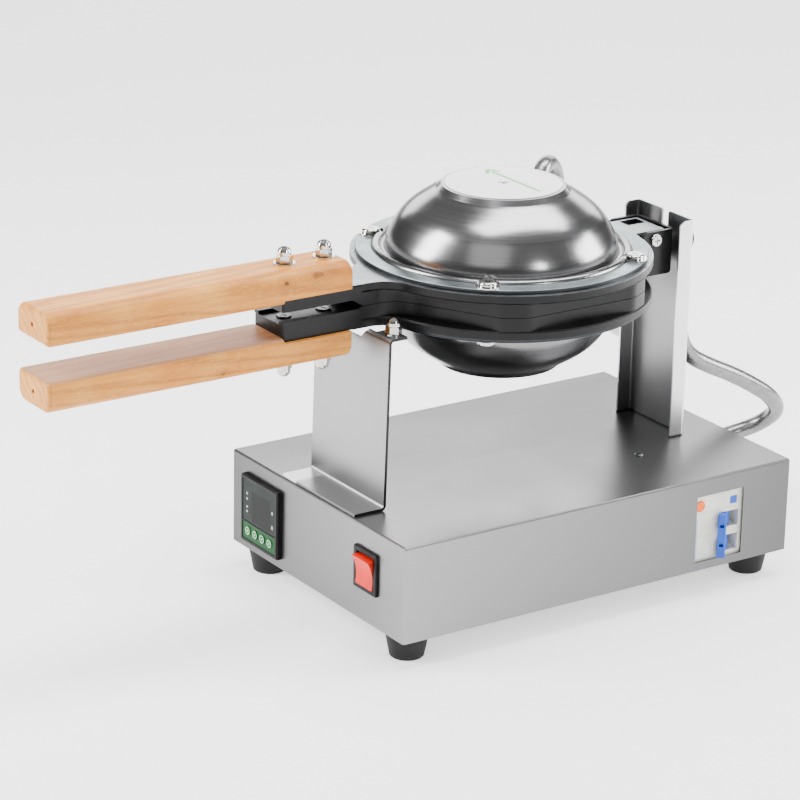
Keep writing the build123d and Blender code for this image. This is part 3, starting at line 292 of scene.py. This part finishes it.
def spun_steel():
    """Polished cover: faint lathe rings round the upright axis."""
    paint = Paint("spun steel", (0.60, 0.60, 0.61), metallic=1.0, roughness=0.2)
    own = paint.place(move=(-PAN.x, -PAN.y, -PAN.z))
    parts = paint.node("ShaderNodeSeparateXYZ", Vector=own)
    radius = paint.sum(paint.sum(paint.sum(parts.outputs["X"], parts.outputs["X"], "MULTIPLY"),
                                 paint.sum(parts.outputs["Y"], parts.outputs["Y"], "MULTIPLY")), 0.5, "POWER")
    line = paint.node("ShaderNodeCombineXYZ", X=radius, Y=parts.outputs["Z"], Z=0.0)
    rings = paint.noise(line.outputs["Vector"], 1500.0, 2.0, 0.6)
    cloud = paint.noise(own, 14.0, 3.0, 0.5)
    paint.color(paint.blend(paint.span(rings, 0.3, 0.7), (0.17, 0.17, 0.174), (0.22, 0.22, 0.224)))
    paint.rough(paint.sum(paint.span(cloud, 0.3, 0.7, 0.19, 0.23), paint.span(rings, 0.3, 0.7, -0.02, 0.03)))
    paint.bump(rings, 0.000004, 0.5)
    return paint.mat


def casting(name, sign):
    """Satin black casting whose outer faces are machined bare."""
    paint = Paint(name, (0.006, 0.006, 0.007), roughness=0.38, Specular_IOR_Level=0.22)
    height = paint.sum(paint.axis("Z"), AXIS_Z, "SUBTRACT")
    height = paint.sum(height, sign, "MULTIPLY")
    bare = paint.span(height, 0.01545, 0.01548)
    grain = paint.noise(paint.place(), 900.0, 4.0, 0.7)
    broad = paint.noise(paint.place(), 45.0, 4.0, 0.6)
    black = paint.blend(paint.span(broad, 0.35, 0.7), (0.003, 0.003, 0.0035), (0.007, 0.0072, 0.008))
    cuts = paint.noise(paint.place(scale=(1, 0.08, 1), turn=(0, 0, 0.5)), 1100.0, 2.0, 0.6)
    metal = paint.blend(paint.span(cuts, 0.3, 0.7), (0.22, 0.24, 0.25), (0.36, 0.39, 0.40))
    paint.color(paint.blend(bare, black, metal))
    paint.metal(bare)
    paint.rough(paint.sum(paint.span(broad, 0.3, 0.7, 0.30, 0.42), paint.span(grain, 0.3, 0.7, -0.04, 0.06)))
    paint.bump(grain, 0.00008, 0.4)
    return paint.mat


def bolt_metal():
    """Bright domed nuts and washers outside, dull screw heads in between the leaves."""
    paint = Paint("handle bolt metal", (0.74, 0.73, 0.70), metallic=1.0, roughness=0.1)
    wear = paint.noise(paint.place(), 300.0, 4.0, 0.6)
    height = paint.absolute(paint.sum(paint.axis("Z"), AXIS_Z, "SUBTRACT"))
    bright = paint.span(height, 0.0300, 0.0305)
    shine = paint.blend(paint.span(wear, 0.35, 0.7), (0.50, 0.49, 0.47), (0.66, 0.65, 0.62))
    paint.color(paint.blend(bright, (0.045, 0.045, 0.047), shine))
    paint.rough(paint.sum(paint.span(wear, 0.3, 0.75, 0.08, 0.16), paint.span(bright, 0.0, 1.0, 0.15, 0.0)))
    paint.bump(wear, 0.000005, 0.3)
    return paint.mat


def baking_face():
    """Seasoned iron of the baking plates: brown-black, uneven gloss."""
    paint = Paint("seasoned iron", (0.03, 0.026, 0.023), roughness=0.45)
    broad = paint.noise(paint.place(), 30.0, 5.0, 0.65)
    fine = paint.noise(paint.place(), 800.0, 3.0, 0.6)
    paint.color(paint.blend(paint.span(broad, 0.35, 0.7), (0.016, 0.014, 0.013), (0.05, 0.038, 0.03)))
    paint.rough(paint.span(broad, 0.3, 0.7, 0.3, 0.55))
    paint.bump(fine, 0.00006, 0.5)
    return paint.mat


def ring_alloy():
    """Grey-green clamp ring with painted shade on its edge."""
    paint = Paint("ring alloy", (0.5, 0.55, 0.56), metallic=1.0, roughness=0.35)
    height = paint.absolute(paint.sum(paint.axis("Z"), AXIS_Z, "SUBTRACT"))
    # painted shade: below its top face the ring's side is painted near black
    face = paint.span(height, 0.01815, 0.0183)
    grain = paint.noise(paint.place(scale=(1, 0.1, 1), turn=(0, 0, 0.9)), 900.0, 3.0, 0.6)
    cloud = paint.noise(paint.place(), 60.0, 3.0, 0.6)
    flat = paint.blend(paint.span(grain, 0.3, 0.7), (0.24, 0.29, 0.30), (0.38, 0.44, 0.45))
    paint.color(paint.blend(face, (0.035, 0.037, 0.04), flat))
    paint.rough(paint.span(cloud, 0.3, 0.7, 0.3, 0.45))
    paint.bump(grain, 0.00003, 0.4)
    return paint.mat


def knot(paint, tone, centre, size, warp):
    """A knot on the wood: a dark heart in a ring of darker, swirling grain."""
    own = paint.place(scale=(1.2, 0.75, 1.2), move=tuple(-c * k for c, k in zip(centre, (1.2, 0.75, 1.2))))
    reach = paint.sum(paint.length(own), paint.span(warp, 0.2, 0.8, -0.3 * size, 0.3 * size))
    rings = paint.node("ShaderNodeMath")
    rings.operation = "SINE"
    paint.feed(paint.sum(reach, 2600.0, "MULTIPLY"), rings.inputs[0])
    halo = paint.span(reach, size * 0.5, size * 2.6, 0.62, 0.0)
    swirl = paint.sum(halo, paint.span(rings.outputs[0], -1.0, 1.0, 0.55, 1.0), "MULTIPLY")
    tone = paint.blend(swirl, tone, (0.30, 0.095, 0.02))
    return paint.blend(paint.span(reach, size * 0.25, size * 0.6, 0.85, 0.0), tone, (0.09, 0.022, 0.006))


def pine(name, shift, knots, painted_top_shade_amount=0.0):
    """Oiled pine: growth lines along the handle, fibres, pores, knots and painted shade that greys the top.
    """
    paint = Paint(name, (0.75, 0.5, 0.27), roughness=0.42, Specular_IOR_Level=0.25)
    own = paint.place(scale=(1, 0.09, 1), move=shift)
    warp = paint.noise(paint.place(), 110.0, 3.0, 0.5)
    cloud = paint.noise(paint.place(move=shift), 28.0, 3.0, 0.5)
    rings = paint.node("ShaderNodeTexWave", Vector=own, Scale=62.0, Distortion=6.0, Detail=3.0)
    rings.wave_type = "BANDS"
    rings.bands_direction = "DIAGONAL"
    rings.inputs["Detail Scale"].default_value = 1.2
    fibre = paint.noise(paint.place(scale=(1, 0.03, 1), move=shift), 800.0, 3.0, 0.65)
    fleck = paint.noise(paint.place(scale=(1, 0.22, 1), move=shift), 900.0, 2.0, 0.6)
    pores = paint.noise(paint.place(scale=(1, 0.05, 1), move=shift), 1500.0, 2.0, 0.6)
    pale = paint.blend(paint.span(cloud, 0.3, 0.7), (0.74, 0.335, 0.058), (0.62, 0.215, 0.024))
    late = paint.blend(paint.span(rings.outputs["Fac"], 0.5, 1.0, 0.0, 0.5), pale, (0.38, 0.115, 0.014))
    tone = paint.blend(paint.span(fibre, 0.38, 0.75, 0.0, 0.4), late, (0.36, 0.105, 0.014))
    tone = paint.blend(paint.span(fleck, 0.52, 0.74, 0.0, 0.35), tone, (0.84, 0.45, 0.11))
    for centre, size in knots:
        tone = knot(paint, tone, centre, size, warp)
    # painted shade: the lower handle's top greyed where the upper handle shades it
    painted_shade_on_top = paint.span(paint.axis("Z"), 0.2125, 0.2138, 0.0, painted_top_shade_amount)
    tone = paint.blend(painted_shade_on_top, tone, (0.27, 0.22, 0.185))
    paint.color(tone)
    paint.rough(paint.span(fibre, 0.3, 0.7, 0.36, 0.55))
    paint.bump(fibre, 0.00008, 0.4)
    paint.bump(pores, 0.00004, 0.3)
    return paint.mat


def printed_label():
    """White enamel disc with a green arrow across it that shows the way to turn."""
    paint = Paint("label enamel", (0.80, 0.81, 0.80), roughness=0.4, Specular_IOR_Level=0.15)
    own = paint.place(move=(-PAN.x, -PAN.y, 0))
    x = paint.axis("X", own)
    y = paint.axis("Y", own)
    speck = paint.noise(own, 1200.0, 3.0, 0.6)
    cloud = paint.noise(own, 40.0, 3.0, 0.6)

    off = paint.absolute(paint.sum(y, 0.0085, "SUBTRACT"))
    shaft = paint.sum(paint.inside(x, -0.026, 0.031), paint.span(off, 0.0012, 0.0015, 1.0, 0.0), "MULTIPLY")
    edge = paint.sum(paint.sum(x, 0.032, "ADD"), 0.62, "MULTIPLY")
    gap = paint.absolute(paint.sum(off, edge, "SUBTRACT"))
    head = paint.sum(paint.inside(x, -0.0325, -0.0235), paint.span(gap, 0.0015, 0.0019, 1.0, 0.0), "MULTIPLY")
    arrow = paint.sum(shaft, head, "MAXIMUM")
    paper = paint.blend(paint.span(cloud, 0.3, 0.7), (0.70, 0.71, 0.70), (0.78, 0.79, 0.78))
    paint.color(paint.blend(arrow, paper, (0.02, 0.36, 0.05)))
    paint.rough(paint.span(speck, 0.3, 0.7, 0.22, 0.36))
    paint.bump(speck, 0.000008, 0.3)
    return paint.mat


def breaker_ivory():
    """Ivory case with a pale blue printed band down its front edge."""
    paint = Paint("ivory plastic", (0.70, 0.69, 0.62), roughness=0.42)
    fine = paint.noise(paint.place(), 1400.0, 3.0, 0.6)
    broad = paint.noise(paint.place(), 70.0, 4.0, 0.6)
    case = paint.blend(paint.span(broad, 0.35, 0.65), (0.66, 0.66, 0.58), (0.76, 0.75, 0.68))
    band = paint.sum(paint.inside(paint.axis("Y"), 0.1820, 0.1856),
                     paint.inside(paint.axis("Z"), 0.0255, 0.0570), "MULTIPLY")
    paint.color(paint.blend(paint.sum(band, 0.75, "MULTIPLY"), case, (0.24, 0.42, 0.70)))
    paint.rough(paint.span(broad, 0.3, 0.7, 0.36, 0.48))
    paint.bump(fine, 0.00002, 0.4)
    return paint.mat


def display_glass():
    """Unlit dark window with a few small pale marks down its sides."""
    paint = Paint("dark window", (0.004, 0.007, 0.006), roughness=0.16, Specular_IOR_Level=0.08)
    x = paint.sum(paint.axis("X"), CONTROLLER_X, "SUBTRACT")
    z = paint.axis("Z")
    speck = paint.noise(paint.place(), 1400.0, 3.0, 0.6)
    cloud = paint.noise(paint.place(), 60.0, 3.0, 0.5)
    glass = paint.blend(paint.span(cloud, 0.3, 0.7), (0.004, 0.007, 0.006), (0.009, 0.016, 0.013))
    inner = paint.sum(paint.inside(x, -0.0100, 0.0150), paint.inside(z, 0.0440, 0.0665), "MULTIPLY")
    glass = paint.blend(inner, glass, (0.002, 0.003, 0.003))
    for at, low, high in ((-0.0160, 0.0625, 0.0640), (-0.0160, 0.0585, 0.0600), (-0.0160, 0.0525, 0.0540),
                          (-0.0160, 0.0490, 0.0505), (0.0175, 0.0580, 0.0600), (0.0175, 0.0470, 0.0495)):
        mark = paint.sum(paint.inside(x, at - 0.0010, at + 0.0010), paint.inside(z, low, high), "MULTIPLY")
        glass = paint.blend(mark, glass, (0.30, 0.36, 0.34))
    paint.color(glass)
    paint.rough(paint.span(cloud, 0.3, 0.7, 0.12, 0.20))
    paint.bump(speck, 0.000003, 0.3)
    return paint.mat


def key_face():
    """Round green keys with a pale ring printed on each."""
    paint = Paint("green keys", (0.02, 0.12, 0.04), roughness=0.4, Specular_IOR_Level=0.15)
    speck = paint.noise(paint.place(), 1400.0, 3.0, 0.6)
    cloud = paint.noise(paint.place(), 90.0, 3.0, 0.5)
    cell = paint.node("ShaderNodeMath")
    cell.operation = "PINGPONG"
    paint.feed(paint.sum(paint.axis("X"), FIRST_KEY_X, "SUBTRACT"), cell.inputs[0])
    cell.inputs[1].default_value = KEY_PITCH / 2
    place = paint.node("ShaderNodeCombineXYZ", X=cell.outputs[0], Y=0.0,
                       Z=paint.sum(paint.axis("Z"), KEY_Z, "SUBTRACT"))
    reach = paint.length(place.outputs["Vector"])
    face = paint.blend(paint.span(cloud, 0.3, 0.7), (0.012, 0.085, 0.025), (0.022, 0.13, 0.040))
    marks = paint.sum(paint.inside(reach, 0.0023, 0.0028), paint.inside(reach, -0.001, 0.0007), "MAXIMUM")
    paint.color(paint.blend(marks, face, (0.45, 0.72, 0.48)))
    paint.rough(paint.span(speck, 0.3, 0.7, 0.35, 0.48))
    paint.bump(speck, 0.00001, 0.3)
    return paint.mat


black_steel = moulded("black stoved steel", (0.005, 0.005, 0.0055), 0.36, 1600.0, 0.00003)
black_plastic = moulded("black plastic", (0.004, 0.004, 0.0045), 0.42, shine=0.15)
grey_plastic = moulded("dark grey plastic", (0.035, 0.036, 0.038), 0.48)
rubber = moulded("rubber", (0.007, 0.007, 0.007), 0.68, 900.0, 0.00006)
blue = moulded("blue plastic", (0.012, 0.085, 0.52), 0.35, 1400.0, 0.00002)
orange = moulded("orange plastic", (0.90, 0.15, 0.005), 0.35, 1400.0, 0.00002)
key_green = key_face()
strip_green = moulded("green key strip", (0.006, 0.055, 0.014), 0.42, 1400.0, 0.00002, shine=0.12)
rocker_red = moulded("red rocker", (0.72, 0.010, 0.001), 0.28, 1400.0, 0.000006, shine=0.2)

LOOKS = {
    "base_shell": base_steel(), "front_support": front_steel(), "rear_support": post_steel(),
    "bottom_plate": zinc,
    "side_tab": zinc, "rubber_feet": rubber, "foot_screws": zinc,
    "bottom_screws": zinc, "guide_nuts": nickel,
    "post_screws": screw_steel, "controller_housing": grey_plastic, "controller_bezel": black_plastic,
    "controller_window": display_glass(), "key_strip": strip_green, "rocker_housing": black_plastic,
    "rocker_paddle": rocker_red, "breaker_body": breaker_ivory(), "breaker_toggle": blue,
    "breaker_test_button": orange, "breaker_indicator": blue, "din_rail": zinc,
    "rail_screw": dull_screw, "relay_heat_sink": zinc, "power_relay": black_plastic,
    "terminal_block": grey_plastic, "terminal_screws": brass, "hinge_bracket": black_steel,
    "hinge_pin": screw_steel, "bracket_screws": screw_steel, "pivot_shaft": zinc,
    "conduit_elbow": black_plastic, "elbow_screw": screw_steel, "conduit_gland": hose_steel,
    "mains_gland": black_plastic, "direction_label": printed_label(), "crown_rivet": screw_steel,
    "upper_casting": casting("upper casting", 1.0), "lower_casting": casting("lower casting", -1.0),
    "upper_handle": pine("pine, upper", (0.013, 0.0, 0.004),
                         [((0.0212, -0.1018, 0.2530), 0.0036), ((0.0212, -0.0769, 0.2555), 0.0062),
                          ((0.0212, -0.0650, 0.2570), 0.0030), ((-0.0212, -0.1900, 0.2480), 0.0040)]),
    "lower_handle": pine("pine, lower", (-0.021, 0.31, 0.017),
                         [((0.0212, -0.1500, 0.1980), 0.0026), ((-0.0212, -0.1100, 0.1960), 0.0040)], 0.55),
}
for i in range(4):
    LOOKS[f"controller_key_{i + 1}"] = key_green
steel_cover, iron, alloy, bolts = spun_steel(), baking_face(), ring_alloy(), bolt_metal()
for leaf in ("upper", "lower"):
    LOOKS.update({
        f"{leaf}_cover": steel_cover, f"{leaf}_mould": iron, f"{leaf}_heater": heater_steel,
        f"{leaf}_ring_plate": alloy, f"{leaf}_ring_screws": nickel, f"{leaf}_handle_bolts": bolts,
        f"{leaf}_heater_hose": hose_steel,
    })
for name, node in nodes.items():
    if name in LOOKS:
        node.data.materials.clear()
        node.data.materials.append(LOOKS[name])


# ---------------------------------------------------------------- the free conduit
CONDUIT = [(0, 0.2445, 0.204), (0, 0.2445, 0.181), (0, 0.2457, 0.1567),
           (0, 0.2556, 0.1355), (0, 0.276, 0.1239), (0, 0.2974, 0.1138),
           (0, 0.318, 0.1021), (0, 0.3378, 0.0891), (-0.007, 0.3532, 0.073),
           (-0.0238, 0.3519, 0.0573), (-0.035, 0.3357, 0.0489), (-0.035, 0.3172, 0.048),
           (-0.035, 0.2982, 0.0474), (-0.035, 0.28, 0.0474)]


def conduit():
    curve = bpy.data.curves.new("conduit", "CURVE")
    curve.dimensions = "3D"
    curve.bevel_depth = 0.0061
    curve.bevel_resolution = 8
    curve.resolution_u = 24
    curve.use_fill_caps = True
    spline = curve.splines.new("NURBS")
    spline.points.add(len(CONDUIT) - 1)
    for point, place in zip(spline.points, CONDUIT):
        point.co = (*place, 1)
    spline.order_u = 3
    spline.use_endpoint_u = True
    made = bpy.data.objects.new("armoured_conduit", curve)
    bpy.context.scene.collection.objects.link(made)
    return made


flex = conduit()
flex.data.materials.append(hose_steel)
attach(flex, "stand")
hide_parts("conduit")


# ---------------------------------------------------------------- stage and light
def stage():
    floor = bpy.data.objects.new("floor", bpy.data.meshes.new("floor"))
    size = 14
    corners = [(-size, -size, 0), (size, -size, 0), (size, size, 0), (-size, size, 0)]
    floor.data.from_pydata(corners, [], [(0, 1, 2, 3)])
    bpy.context.scene.collection.objects.link(floor)
    paint = Paint("floor", (0.88, 0.88, 0.88), roughness=0.8)
    grain = paint.noise(paint.place(), 30.0, 3.0, 0.5)
    paint.color(paint.blend(paint.span(grain, 0.3, 0.7), (0.87, 0.87, 0.87), (0.89, 0.89, 0.89)))
    paint.shader.inputs["Emission Color"].default_value = (1, 1, 1, 1)
    paint.shader.inputs["Emission Strength"].default_value = 0.75
    floor.data.materials.append(paint.mat)


def softbox(name, azimuth, elevation, power, width, height, distance=1.7):
    """Area light that faces the pan; azimuth 0 is in front (-Y) and 90 on the right (+X)."""
    data = bpy.data.lights.new(name, "AREA")
    data.energy = power
    data.shape = "RECTANGLE"
    data.size = width
    data.size_y = height
    turn, rise = math.radians(azimuth), math.radians(elevation)
    way = Vector((math.sin(turn) * math.cos(rise), -math.cos(turn) * math.cos(rise), math.sin(rise)))
    light = bpy.data.objects.new(name, data)
    light.location = PAN + way * distance
    light.rotation_euler = (-way).to_track_quat("-Z", "Y").to_euler()
    bpy.context.scene.collection.objects.link(light)


def sky():
    """Dim room: dark round the horizon, lighter overhead."""
    world = bpy.data.worlds.new("room")
    bpy.context.scene.world = world
    world.use_nodes = True
    tree = world.node_tree
    place = tree.nodes.new("ShaderNodeTexCoord").outputs["Generated"]
    parts = tree.nodes.new("ShaderNodeSeparateXYZ")
    tree.links.new(place, parts.inputs[0])
    ramp = tree.nodes.new("ShaderNodeMapRange")
    tree.links.new(parts.outputs["Z"], ramp.inputs["Value"])
    for key, number in (("From Min", 0.0), ("From Max", 0.75), ("To Min", 0.10), ("To Max", 0.45)):
        ramp.inputs[key].default_value = number
    tree.links.new(ramp.outputs["Result"], tree.nodes["Background"].inputs["Strength"])
    tree.nodes["Background"].inputs["Color"].default_value = (1, 1, 1, 1)


stage()
sky()
softbox("left strip", -28, 28, 60, 0.55, 1.2)
softbox("overhead", 175, 78, 60, 0.6, 1.9)
softbox("right", 156, 17, 40, 0.8, 0.7)
softbox("spot", 94, 22, 8, 0.16, 0.5)
softbox("far left", -124, 17, 60, 3.4, 0.9, 2.8)
softbox("fill", 40, 40, 12, 1.6, 1.6, 2.6)
